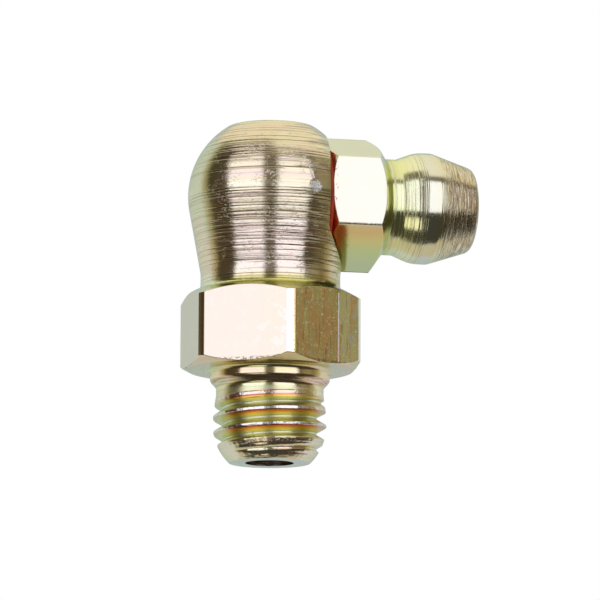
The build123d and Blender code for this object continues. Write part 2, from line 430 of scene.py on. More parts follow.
def crest_wear(height, angles):
    """The small ups and downs of the rolled crests, in millimetres."""
    draws = np.random.default_rng(CREST_SEED)
    wear = np.zeros_like(angles)
    for waves in (5, 9, 14, 23, 31, 44):
        phase = draws.uniform(0, 2 * pi)
        climb = draws.uniform(2.0, 5.0)
        wear = wear + CREST_WEAR * np.sin(waves * angles + climb * height + phase)
    return wear


def thread_rows(angles):
    """Rows that follow the helix, held between the shank's end and its neck."""
    pitches = (SHANK_NECK_END - SHANK_END) / THREAD_PITCH + 1
    steps = np.arange(int(pitches * ROWS_PER_PITCH) + 2) / ROWS_PER_PITCH
    climb = THREAD_PITCH * (angles - angles[0]) / (2 * pi)
    root_place = THREAD_FIRST_ROOT + THREAD_PITCH * (angles - radians(THREAD_TURN)) / (2 * pi)
    outside = THREAD_CREST + THREAD_CUTTER_OVERRUN
    rows = []
    for start in SHANK_END + THREAD_PITCH * (steps - 1):
        height = np.clip(start + climb, SHANK_END, SHANK_NECK_END)
        apart = ((height - root_place) / THREAD_PITCH + 0.5) % 1 - 0.5
        apart = np.abs(apart) * THREAD_PITCH
        fade = np.clip((height - THREAD_FADE_START) / THREAD_FADE_LENGTH, 0, None) ** THREAD_FADE_POWER
        root = THREAD_ROOT + (outside - THREAD_ROOT) * fade
        flank = root + (apart - THREAD_ROOT_FLAT / 2) / tan(radians(THREAD_FLANK))
        groove = smooth_max(root, flank, THREAD_SOFTNESS)
        worn = start + climb < SHANK_NECK_END - CREST_WEAR_END
        crest = shank_envelope(height) + crest_wear(height, angles) * worn
        rows.append(np.array([smooth_min(crest, groove, THREAD_SOFTNESS), height]))
    return rows


def collar_rows(columns):
    """From the shank's neck up the taper and the collar to the hexagon's underside."""
    corners = [
        (SHANK_NECK, SHANK_NECK_END),
        (SHANK_NECK, COLLAR_TAPER_END),
        (COLLAR, COLLAR_BOTTOM),
        (COLLAR, -COLLAR_FILLET),
    ]
    fillet = arc_points((COLLAR + COLLAR_FILLET, -COLLAR_FILLET), COLLAR_FILLET, 180, 90, FILLET_STEPS)
    return softened(as_rows(corners, columns), COLLAR_SOFTNESS)[1:] + as_rows(fillet[1:], columns)


def lower_edge_wear(angles):
    """The ragged burr that stands down from the lower edge of the hexagon, in millimetres."""
    draws = np.random.default_rng(BURR_SEED)
    wear = np.zeros_like(angles)
    for waves in (37, 61, 83, 113, 149):
        wear = wear + np.sin(waves * angles + draws.uniform(0, 2 * pi))
    return BURR * np.clip(wear - 0.6, 0, 1.6)


def hexagon_rows(angles, first_corner):
    """The hexagon with its turned-down corners and bevels, from its underside to the blend above it."""
    columns = len(angles)
    across = np.minimum(hexagon_flats(angles, HEX_INNER, first_corner), HEX_CORNER)
    slope = tan(radians(HEX_BEVEL))
    edge = HEX_LOWER_EDGE + (across - HEX_INNER) * slope
    outline = as_rows(
        [
            (COLLAR + COLLAR_FILLET, 0),
            (HEX_INNER - HEX_LOWER_EDGE, 0),
            (across, edge - lower_edge_wear(angles)),
            (across, HEX_TOP - (across - HEX_TOP_RADIUS) * slope),
            (HEX_TOP_RADIUS, HEX_TOP),
            (HEX_TOP_RADIUS - BLEND_LEAD_WIDTH, HEX_TOP + BLEND_LEAD_RISE),
        ],
        columns,
    )
    return softened(outline)[1:-1]


def head_radius(height):
    """Radius of the head's side: its neck, the cone that runs tangent into the ball, and the ball."""
    cone = radians(HEAD_CONE)
    tangent = HEAD_HEIGHT - HEAD * sin(cone)
    on_cone = HEAD * cos(cone) - (tangent - height) * tan(cone)
    on_ball = np.sqrt(np.clip(HEAD**2 - (height - HEAD_HEIGHT) ** 2, 0, None))
    return np.where(height < tangent, smooth_max(NECK, on_cone, NECK_SOFTNESS), on_ball)


def head_rows(angles):
    """The blend, neck, cone and ball of the head, up to its flat top."""
    columns = len(angles)
    blend = HEX_TOP_RADIUS - NECK
    start = arc_points((HEX_TOP_RADIUS, HEX_TOP + blend), blend, BLEND_START, 180, BLEND_STEPS)
    inner_ball = HEAD - HEAD_TOP_ROUND
    rim_rise = HEAD_FLAT_RISE - HEAD_TOP_ROUND
    rim_middle = sqrt(inner_ball**2 - rim_rise**2)
    rim_start = asin(rim_rise / inner_ball)
    side_start = HEX_TOP + blend + BLEND_CLEARANCE
    ball_end = HEAD_HEIGHT + HEAD * sin(rim_start)
    heights = places_between(side_start, ball_end, HEAD_ROW_SPACING, HEAD_MARKS)
    side = marked(heights, head_radius(heights), HEAD_MARKS, angles)
    rim_centre = (rim_middle, HEAD_TOP - HEAD_TOP_ROUND)
    rim = arc_points(rim_centre, HEAD_TOP_ROUND, degrees(rim_start), 90, FILLET_STEPS)
    top = [(radius, HEAD_TOP) for radius in np.linspace(rim_middle, 0, TOP_RINGS)[1:]]
    return as_rows(start, columns) + side + as_rows(rim[1:] + top, columns)


def on_the_side(aside, height, radius):
    """A point on the elbow that lies so many degrees to the right of the middle of its front."""
    turn = radians(-90 + FRONT_TURN + aside)
    return Vector((radius * cos(turn), radius * sin(turn), height))


# the nick: where it is, its radius, its depth and how high its lip stands
NICK = on_the_side(33.4, 10.14, HEAD)
NICK_RADIUS = 0.42
NICK_DEPTH = 0.030
NICK_LIP = 0.006

# the reach of its floor, and the place, width and end of its lip, as shares of its radius
NICK_FLOOR = 0.75
NICK_LIP_PLACE = 1.1
NICK_LIP_WIDTH = 0.2
NICK_LIP_END = 1.6

# how far the metal is bare round it, and how much that patch is squashed in x, y and z
NICK_BARE = 0.40
NICK_SQUASH = Vector((1, 1, 1.25))

# a scratch above the nick, and on the hexagon's right flat an upright die line, whose glint is painted in
# silver, and a speck
SCRATCH_START = on_the_side(28.0, 11.30, 4.67)
SCRATCH_END = on_the_side(31.5, 10.62, 4.78)
SCRATCH_REACH = 0.045
FLAT_LINE_START = Vector((3.186, -3.660, 0.12))
FLAT_LINE_END = Vector((3.186, -3.660, 4.15))
FLAT_LINE_REACH = 0.055
FLAT_SPECK = Vector((2.051, -4.315, 2.756))
FLAT_SPECK_REACH = 0.075


def dented(piece):
    """Presses the nick into the head, as a shallow dent with a raised lip."""
    for vertex in piece.data.vertices:
        apart = (vertex.co / MM - NICK).length / NICK_RADIUS
        if apart < NICK_LIP_END:
            inward = Vector((-vertex.co.x, -vertex.co.y, 0)).normalized()
            dent = NICK_DEPTH * np.exp(-((apart / NICK_FLOOR) ** 4))
            lip = NICK_LIP * np.exp(-(((apart - NICK_LIP_PLACE) / NICK_LIP_WIDTH) ** 2))
            vertex.co += inward * float(dent - lip) * MM
    return piece


def drill(name, radius, start, end, placed=Matrix()):
    """A drilled hole as a solid: a cylinder with the drill's point at its end."""
    angles = np.linspace(0, 2 * pi, DRILL_COLUMNS)
    point = radius / tan(radians(DRILL_POINT)) * (1 if end > start else -1)
    rows = as_rows([(0, start), (radius, start), (radius, end), (0, end + point)], len(angles))
    return skin(name, rows, angles, placed)


def elbow_body():
    """The elbow in one piece, with its channel, socket and spot face cut out."""
    first_corner = radians(HEX_FIRST_CORNER)
    reach = pi / 6 - acos(HEX_INNER / HEX_CORNER)
    angles = hexagon_columns(first_corner, reach, HEX_CORNER_COLUMNS, HEX_FLAT_COLUMNS)
    columns = len(angles)
    rows = as_rows([(0, SHANK_END), (SHANK_END_RING, SHANK_END)], columns)
    rows += thread_rows(angles)
    rows += collar_rows(columns)
    rows += hexagon_rows(angles, first_corner)
    rows += head_rows(angles)
    body = dented(skin("elbow", rows, angles))
    spot_angles = np.linspace(0, 2 * pi, ROUND_COLUMNS)
    spot_outline = [
        (0, SPOT_FACE),
        (SPOT_FACE_RADIUS, SPOT_FACE),
        (SPOT_FACE_RADIUS, SPOT_CUTTER_END),
        (0, SPOT_CUTTER_END),
    ]
    spot = skin("spot", as_rows(spot_outline, ROUND_COLUMNS), spot_angles, ALONG_X)
    channel = drill("channel", CHANNEL, SHANK_END - CUTTER_OVERRUN, SOCKET_HEIGHT)
    socket = drill("socket", SOCKET, HEAD + CUTTER_OVERRUN, SOCKET_BOTTOM, ALONG_X)
    return shaded(cut(body, channel, socket, spot))


# =================================== coupling nipple, seal and ball ===================================


def eased_corner(before, corner, after, radius, steps):
    """Points of a rounding of the given radius between two straight stretches of an outline."""
    corner = np.array(corner, float)
    back = np.array(before, float) - corner
    ahead = np.array(after, float) - corner
    back /= np.linalg.norm(back)
    ahead /= np.linalg.norm(ahead)
    half = np.arccos(np.clip(back @ ahead, -1, 1)) / 2
    middle = (back + ahead) / np.linalg.norm(back + ahead)
    centre = corner + middle * radius / sin(half)
    start = corner + back * radius / tan(half) - centre
    end = corner + ahead * radius / tan(half) - centre
    spread = pi - 2 * half
    points = []
    for t in np.linspace(0, 1, steps + 1):
        mix = (sin((1 - t) * spread) * start + sin(t * spread) * end) / sin(spread)
        points.append(tuple(centre + mix))
    return points


def coupling_points():
    """Outline of the neck and the coupling head, from the front bevel to the edge of the mouth."""
    slope = tan(radians(NIPPLE_FRONT_BEVEL))
    land_start = NIPPLE_NECK_END + (COUPLING - NIPPLE_NECK) / tan(radians(COUPLING_BACK))
    tip_radius = COUPLING - (TIP - COUPLING_LAND_END) * tan(radians(COUPLING_CONE))
    corners = [
        (NIPPLE_INNER + 1, NIPPLE_FRONT - 1 / slope),
        (NIPPLE_NECK, NIPPLE_FRONT + (NIPPLE_INNER - NIPPLE_NECK) / slope),
        (NIPPLE_NECK, NIPPLE_NECK_END),
        (COUPLING, land_start),
        (COUPLING, COUPLING_LAND_END),
        (tip_radius, TIP),
        (MOUTH, TIP),
    ]
    points = []
    for place, (radius, steps) in enumerate(COUPLING_ROUNDINGS):
        points += eased_corner(*corners[place : place + 3], radius, steps)
    return points


def coupling_rows(angles):
    """The neck and coupling head with their turning marks."""
    outline = np.array(coupling_points())
    rising = int(np.argmax(outline[:, 1] > TIP - TIP_EDGE))
    places = places_between(outline[0, 1], outline[rising, 1], COUPLING_ROW_SPACING, COUPLING_MARKS)
    radii = np.interp(places, outline[: rising + 1, 1], outline[: rising + 1, 0])
    side = marked(places, radii, COUPLING_MARKS, angles)
    return side + as_rows([tuple(point) for point in outline[rising + 1 :]], len(angles))


def nipple_body():
    """The coupling nipple, turned from hexagon bar, with its bore, seat and mouth."""
    first_corner = radians(-90 - NIPPLE_TURN)
    reach = rounded_reach(NIPPLE_INNER, NIPPLE_CORNER_ROUND)
    angles = hexagon_columns(first_corner, reach, NIPPLE_CORNER_COLUMNS, NIPPLE_FLAT_COLUMNS)
    columns = len(angles)
    across = rounded_hexagon(angles, NIPPLE_INNER, NIPPLE_CORNER_ROUND, first_corner)
    back_slope = tan(radians(NIPPLE_BACK_BEVEL))
    front_slope = tan(radians(NIPPLE_FRONT_BEVEL))
    coupling = coupling_rows(angles)
    hexagon = as_rows(
        [
            (LIP_HOLE, STUB_END),
            (STUB - STUB_CHAMFER, STUB_END),
            (STUB, STUB_END + STUB_CHAMFER),
            (STUB, NIPPLE_BACK),
            (NIPPLE_BACK_RADIUS, NIPPLE_BACK),
            (across, NIPPLE_BACK + (across - NIPPLE_BACK_RADIUS) * back_slope),
            (across, NIPPLE_FRONT - (across - NIPPLE_INNER) / front_slope),
            coupling[0],
        ],
        columns,
    )
    seat_start = MOUTH_START - (BORE - MOUTH)
    inside = as_rows(
        [
            (MOUTH + MOUTH_LEAD, TIP),
            (MOUTH, TIP),
            (MOUTH, MOUTH_START),
            (BORE, seat_start),
            (BORE, LIP_END),
            (LIP_HOLE, LIP_END),
            (LIP_HOLE, STUB_END),
            (STUB - STUB_CHAMFER, STUB_END),
        ],
        columns,
    )
    rows = softened(hexagon, NIPPLE_SOFTNESS)[1:-1] + coupling + softened(inside, BORE_SOFTNESS)[1:-1]
    rows.append(rows[0])
    return shaded(skin("nipple", rows, angles, ALONG_X))


def seal_ring():
    """The squeezed seal: flat against both faces, and swollen under the hexagon's bevel."""
    angles = np.linspace(0, 2 * pi, ROUND_COLUMNS)
    slope = tan(radians(NIPPLE_BACK_BEVEL))
    swelling_start = NIPPLE_BACK_RADIUS + (SEAL_TOP - NIPPLE_BACK + SEAL_BEVEL_GAP) / slope
    thickness = SEAL_TOP - SPOT_FACE
    rim = SEAL_RADIUS - thickness / 2
    bulge = arc_points((rim, SPOT_FACE + thickness / 2), thickness / 2, -90, 90, SEAL_STEPS)
    outline = [(SOCKET, SPOT_FACE)] + bulge
    outline += [(swelling_start, SEAL_TOP), (NIPPLE_BACK_RADIUS, NIPPLE_BACK), (SOCKET, NIPPLE_BACK)]
    outline.append(outline[0])
    return shaded(skin("seal", as_rows(outline, len(angles)), angles, ALONG_X))


def check_ball():
    """The ball behind the mouth."""
    angles = np.linspace(0, 2 * pi, BALL_COLUMNS)
    outline = arc_points((0, BALL_PLACE), BALL, -90, 90, BALL_ROWS)
    outline[0] = (0, BALL_PLACE - BALL)
    outline[-1] = (0, BALL_PLACE + BALL)
    return shaded(skin("ball", as_rows(outline, len(angles)), angles, ALONG_X))


# =================================== node trees ===================================


class Wire:
    """A value in a node tree. Sums and products of wires and numbers add the maths nodes."""

    def __init__(self, nodes, socket):
        self.nodes = nodes
        self.socket = socket

    def maths(self, operation, *values):
        return self.nodes.node("ShaderNodeMath", {"operation": operation}, dict(enumerate(values)))[0]

    def __add__(self, other):
        return self.maths("ADD", self, other)

    __radd__ = __add__

    def __sub__(self, other):
        return self.maths("SUBTRACT", self, other)

    def __rsub__(self, other):
        return self.maths("SUBTRACT", other, self)

    def __mul__(self, other):
        return self.maths("MULTIPLY", self, other)

    __rmul__ = __mul__

    def __truediv__(self, other):
        return self.maths("DIVIDE", self, other)

    def __pow__(self, other):
        return self.maths("POWER", self, other)

    def __abs__(self):
        return self.maths("ABSOLUTE", self)

    def fraction(self):
        return self.maths("FRACT", self)

    def larger(self, other):
        return self.maths("MAXIMUM", self, other)

    def close_to(self, value, reach):
        """1 within reach of the value, else 0."""
        return self.maths("COMPARE", self, value, reach)

    def between(self, low, high):
        """0 at low, 1 at high, with a smooth rise between; low may be the larger."""
        smooth = {"interpolation_type": "SMOOTHSTEP"}
        sockets = {"Value": self, "From Min": low, "From Max": high}
        return self.nodes.node("ShaderNodeMapRange", smooth, sockets)["Result"]

    def within(self, start, full, still, end):
        """0 up to the start and past the end, 1 from full to still, with smooth slopes."""
        return self.between(start, full) * self.between(end, still)


class Outputs:
    """The outputs of a node, by name or by number."""

    def __init__(self, nodes, outputs):
        self.nodes = nodes
        self.outputs = outputs

    def __getitem__(self, key):
        return Wire(self.nodes, self.outputs[key])


class Nodes:
    """A node tree under construction."""

    def __init__(self, owner):
        owner.use_nodes = True
        self.tree = owner.node_tree
        self.tree.nodes.clear()

    def node(self, kind, settings=None, sockets=None):
        """Adds a node, with its settings and then its sockets' values or links, and returns its outputs."""
        made = self.tree.nodes.new(kind)
        for key, value in (settings or {}).items():
            if key == "stops":
                self.set_stops(made.color_ramp, value)
            else:
                setattr(made, key, value)
        for key, value in (sockets or {}).items():
            if isinstance(value, Wire):
                self.tree.links.new(value.socket, made.inputs[key])
            else:
                made.inputs[key].default_value = value
        return Outputs(self, made.outputs)

    @staticmethod
    def set_stops(ramp, stops):
        while len(ramp.elements) < len(stops):
            ramp.elements.new(0.5)
        for element, (place, colour) in zip(ramp.elements, stops):
            element.position = place
            element.color = (*colour, 1)

    def vector(self, operation, first, second):
        return self.node("ShaderNodeVectorMath", {"operation": operation}, {0: first, 1: second})

    def stretched(self, place, shares):
        """The place with each of its three parts multiplied by its share."""
        return self.vector("MULTIPLY", place, shares)["Vector"]

    def parts(self, vector):
        return self.node("ShaderNodeSeparateXYZ", None, {"Vector": vector})

    def combined(self, x, y, z):
        return self.node("ShaderNodeCombineXYZ", None, {"X": x, "Y": y, "Z": z})["Vector"]

    def blend(self, first, second, share):
        """A colour between the first and the second."""
        first, second = (colour if isinstance(colour, Wire) else (*colour, 1) for colour in (first, second))
        return self.node("ShaderNodeMix", {"data_type": "RGBA"}, {0: share, 6: first, 7: second})[2]

    def painted(self, tint, *layers):
        """The tint under layers of paint, each a colour and how much of it covers what lies below."""
        for colour, share in layers:
            tint = self.blend(tint, colour, share)
        return tint

    def ramp(self, value, *stops):
        return self.node("ShaderNodeValToRGB", {"stops": stops}, {"Fac": value})["Color"]

    def film(self, value, stops):
        """The colour of a film at a value, from stops given in the value's own units."""
        low, high = stops[0][0], stops[-1][0]
        span = high - low
        return self.ramp((value - low) / span, *(((place - low) / span, colour) for place, colour in stops))

    def noise(self, vector, scale, detail=2.0, roughness=0.5):
        sockets = {"Vector": vector, "Scale": scale, "Detail": detail, "Roughness": roughness}
        return self.node("ShaderNodeTexNoise", None, sockets)["Fac"]

    def bump(self, height, depth, strength=1.0):
        """The normal of a surface with the height, in millimetres at a height of 1, laid over it."""
        sockets = {"Strength": strength, "Distance": depth * MM, "Height": height}
        return self.node("ShaderNodeBump", None, sockets)["Normal"]


def new_material(name):
    material = bpy.data.materials.new(name)
    return material, Nodes(material)


def surface(nodes, material, sockets):
    """Ends the tree in a shader with these values."""
    shader = nodes.node("ShaderNodeBsdfPrincipled", None, sockets)
    nodes.node("ShaderNodeOutputMaterial", None, {"Surface": shader["BSDF"]})
    return material


def position(nodes):
    """The point on the object in millimetres, as a vector and as its three parts."""
    point = nodes.node("ShaderNodeTexCoord")["Object"]
    place = nodes.stretched(point, (1 / MM, 1 / MM, 1 / MM))
    parts = nodes.parts(place)
    return place, parts["X"], parts["Y"], parts["Z"]


def facing_up(nodes):
    """The upward part of the surface's direction, from 0 on a wall to 1 on a level face."""
    normal = nodes.node("ShaderNodeTexCoord")["Normal"]
    return abs(nodes.parts(normal)["Z"])


def towards(x, y, turn):
    """How far out a point lies in the direction that is so many degrees round from +X."""
    return x * cos(radians(turn)) + y * sin(radians(turn))


def near(nodes, place, point, reach, ragged):
    """1 within reach of a point, with a ragged edge, else 0."""
    apart = nodes.vector("DISTANCE", place, tuple(point))["Value"]
    return (apart + ragged).between(reach * 1.15, reach * 0.85)


def near_line(nodes, place, start, end, reach):
    """1 within reach of the straight line between two points, else 0."""
    length = (end - start).length
    along = tuple((end - start).normalized())
    offset = nodes.vector("SUBTRACT", place, tuple(start))["Vector"]
    travel = nodes.vector("DOT_PRODUCT", offset, along)["Value"]
    rejected = nodes.vector("CROSS_PRODUCT", offset, along)["Vector"]
    apart = nodes.node("ShaderNodeVectorMath", {"operation": "LENGTH"}, {0: rejected})["Value"]
    return apart.between(reach, 0.4 * reach) * travel.within(-reach, reach, length - reach, length + reach)


def scored_lines(travel, marks, worn):
    """1 in the turning marks that stand out, less where they are shallow or worn."""
    inside = sum(travel.close_to(place, 0.55 * wide) * (deep / DEEP_MARK) for place, deep, wide in marks)
    return (inside * worn).between(0.15, 0.75)


# =================================== colours of the plating ===================================


GOLD = (0.89, 0.77, 0.49)
ROSE = (0.88, 0.70, 0.58)
GREEN = (0.78, 0.80, 0.50)
PALE_GOLD = (0.95, 0.86, 0.65)
UMBER = (0.30, 0.23, 0.15)
GLANCING_TINT = (0.84, 0.91, 0.78)

# on the elbow's head and neck
# pink painted into the panels' highlights low on the head's front
HIGHLIGHT_PINK = (0.99, 0.81, 0.69)
# painted light on the neck's left side, and painted shade on its right side
NECK_PAINTED_LIGHT = (0.96, 0.98, 0.74)
NECK_PAINTED_SHADE = (0.50, 0.46, 0.20)
# painted shade low on the head's right side
HEAD_PAINTED_SHADE = (0.76, 0.62, 0.32)
NICK_GREY = (0.92, 0.96, 0.93)
# silver of the scratch and the speck, and the painted glint of the upright die line
SILVER_SCRATCH_AND_GLINT = (0.97, 0.97, 0.92)

# on the elbow's hexagon
BEVEL_GOLD = (0.78, 0.70, 0.44)
BEVEL_COPPER = (0.96, 0.66, 0.46)
FLAT_GOLD = (0.88, 0.76, 0.58)
FLAT_CREAM = (0.95, 0.90, 0.80)
FLAT_ROSE = (0.88, 0.755, 0.60)
# a painted highlight on the hexagon's right corner and a painted dark reflection on its left corner
CORNER_HIGHLIGHT = (0.97, 0.98, 0.96)
CORNER_SHADE = (0.52, 0.42, 0.26)
STAIN_OLIVE = (0.90, 0.86, 0.42)
STAIN_ORANGE = (1.00, 0.70, 0.34)
STAIN_YELLOW = (1.00, 0.96, 0.50)
STAIN_SILVER = (0.84, 0.90, 0.86)

# on the elbow's shank
STRAND_PINK = (0.96, 0.66, 0.56)
STRAND_GREEN = (0.72, 0.88, 0.50)
SAGE = (0.84, 0.81, 0.56)
THREAD_SAGE = (0.78, 0.82, 0.52)
THREAD_TAN = (0.84, 0.66, 0.48)
CREST_GREY = (0.44, 0.38, 0.32)
# painted shade inside the grease channel
CHANNEL_SHADE = (0.24, 0.18, 0.12)

# on the coupling nipple
NIPPLE_SAGE = (0.86, 0.84, 0.60)
# the seal's red, painted on the nipple's lower flat as its reflection
SEAL_REFLECTION_RED = (0.84, 0.24, 0.12)
SEAL_TRACE = (0.62, 0.20, 0.12)
CONE_BROWN = (0.50, 0.39, 0.26)
# painted shade on the cone's lower side
CONE_PAINTED_SHADE = (0.62, 0.56, 0.40)
# painted highlight in fine streaks round the cone
CONE_PAINTED_HIGHLIGHT = (0.97, 0.90, 0.78)

# film colours round one pitch of the thread: root at 0, then the flank that faces down, crest, other flank
THREAD_FILM = [
    (0.00, (0.90, 0.86, 0.70)),
    (0.05, (0.84, 0.88, 0.62)),
    (0.09, (0.66, 0.78, 0.36)),
    (0.14, (0.92, 0.86, 0.28)),
    (0.21, (1.00, 0.78, 0.20)),
    (0.29, (1.00, 0.50, 0.10)),
    (0.35, (0.80, 0.24, 0.10)),
    (0.41, (0.44, 0.14, 0.13)),
    (0.44, (0.93, 0.89, 0.82)),
    (0.58, (0.93, 0.90, 0.84)),
    (0.62, (0.70, 0.58, 0.34)),
    (0.80, (0.90, 0.78, 0.38)),
    (0.94, (0.74, 0.72, 0.38)),
    (1.00, (0.90, 0.86, 0.70)),
]

# film colours from the hexagon's top up the neck to the head's cone
NECK_FILM = [
    (4.35, (0.60, 0.56, 0.20)),
    (4.62, (0.80, 0.76, 0.30)),
    (4.82, (0.90, 0.88, 0.34)),
    (4.90, (0.70, 0.60, 0.26)),
    (4.98, (0.52, 0.42, 0.18)),
    (5.02, (0.90, 0.80, 0.42)),
    (5.09, (0.92, 0.80, 0.50)),
    (5.11, (0.40, 0.29, 0.15)),
    (5.14, (0.40, 0.29, 0.15)),
    (5.17, (0.93, 0.82, 0.60)),
    (5.30, (0.93, 0.82, 0.60)),
]

# film colours from the shank's end up to the underside of the hexagon
SHANK_FILM = [
    (-5.34, (0.86, 0.80, 0.62)),
    (-5.20, (0.92, 0.76, 0.60)),
    (-4.45, (0.93, 0.74, 0.58)),
    (-4.20, (0.86, 0.78, 0.44)),
    (-1.75, (0.86, 0.78, 0.44)),
    (-1.62, (0.94, 0.76, 0.62)),
    (-1.50, (0.97, 0.90, 0.52)),
    (-1.10, (0.97, 0.91, 0.54)),
    (-1.00, (0.66, 0.54, 0.26)),
    (-0.82, (0.58, 0.34, 0.24)),
    (-0.66, (0.50, 0.34, 0.20)),
    (-0.58, (0.98, 0.84, 0.46)),
    (-0.32, (0.95, 0.82, 0.42)),
    (-0.20, (0.66, 0.60, 0.28)),
    (-0.06, (0.80, 0.66, 0.28)),
    (0.00, (0.74, 0.62, 0.30)),
]

# film colours on the nipple's lower front flat, by height from the nipple's axis
LOW_FLAT_FILM = [
    (-3.6, (0.66, 0.80, 0.62)),
    (-3.0, (0.70, 0.84, 0.52)),
    (-2.5, (0.86, 0.80, 0.42)),
    (-2.1, (0.90, 0.68, 0.38)),
    (-1.6, (0.88, 0.74, 0.50)),
]

# film colours along the nipple
NIPPLE_FILM = [
    (2.8, (0.87, 0.83, 0.65)),
    (5.9, (0.87, 0.83, 0.65)),
    (6.3, (0.64, 0.66, 0.28)),
    (7.2, (0.90, 0.91, 0.44)),
    (8.0, (0.94, 0.92, 0.56)),
    (8.6, (0.86, 0.84, 0.60)),
    (8.8, (0.84, 0.81, 0.66)),
    (9.4, (0.84, 0.78, 0.54)),
    (9.8, (0.82, 0.72, 0.42)),
    (11.9, (0.80, 0.62, 0.34)),
]

# places on the elbow where its finish or its painted light and shade change: heights, distances from its
# axis, or how far aside it is
HEAD_FOOT = (5.3, 5.5)
BRIGHT_BAND = (10.0, 10.3, 10.9, 11.1)
SMOOTHED_BELOW = (8.2, 7.4)
HIGHLIGHT_PINK_SPAN = (5.2, 5.3, 7.6, 8.8)
HIGHLIGHT_PINK_HALF_WIDTH = (2.8, 1.4)
HEAD_PAINTED_SHADE_TOP = (8.8, 7.4)
HEAD_PAINTED_SHADE_SIDE = (2.4, 3.1)
NECK_FILM_TOP = (5.27, 5.17)
NECK_PAINTED_LIGHT_TOP = (5.3, 5.1)
NECK_PAINTED_LIGHT_SIDE = (-2.0, -3.0)
NECK_PAINTED_SHADE_TOP = (5.2, 5.1)
NECK_PAINTED_SHADE_SIDE = (1.0, 2.6)
LOW_BEVEL_TOP = (1.2, 1.0)
RIGHT_FLAT = -60
RIGHT_FLAT_FACE = (4.70, 4.74)
ROSE_SIDE = (0.2, -1.2)
CORNER_FACE = (5.345, 5.362)
HIGHLIGHT_CORNER_SIDE = (0.2, 0.4)
SHADED_CORNER_SIDE = (-3.0, -3.4)
YELLOW_STAIN_START = (3.10, 3.30)
DULL_STAIN_START = (3.20, 3.30)
BURR_TOP = (0.26, 0.12)
FAINT_MARKS_SIDE = (-3.1, -3.8)
LEAD_IN_FILM = (-4.0, -4.4)
LEAD_IN_SIDE = (1.2, 2.2)
THREAD_FILM_SPAN = (-4.30, -4.10, -1.80, -1.60)
THREAD_SAGE_SIDE = (-2.0, -2.8)
THREAD_TAN_SIDE = (2.3, 3.0)
CREST_REACH = (0.17, 0.08)
CHANNEL_WALL = (1.43, 1.41)
CHANNEL_TOP = (9.0, 8.9)

# places along the nipple where its finish or its painted light and shade change
TAPER_SPAN = (7.4, 7.8, 8.62, 8.70)
LAND_SPAN = (8.62, 8.68, 9.50, 9.56)
CONE_SPAN = (9.5, 9.9, 11.82, 11.89)
NECK_RINGS_SPAN = (6.1, 6.3, 7.4, 7.8)
CONE_BROWN_START = (9.7, 10.3)
CONE_PAINTED_SHADE_HEIGHT = (-2.4, -2.0, -0.9, -0.2)
NIPPLE_FLATS = (3.40, 3.46)
NIPPLE_CORNER = (3.965, 3.985)
NIPPLE_CORNER_TOP = (0.0, -0.4)
LOW_FLAT_FACE = (3.40, 3.30)
LOW_FLAT_TOP = (-1.2, -1.6)
SEAL_REFLECTION_END = (3.95, 3.40)
SEAL_REFLECTION_HEIGHT = (-3.5, -2.8)
SEAL_TRACE_END = (3.26, 3.10)

# the height of the fine relief where a finish gives 1
RELIEF = 0.012


# =================================== finish of the elbow ===================================


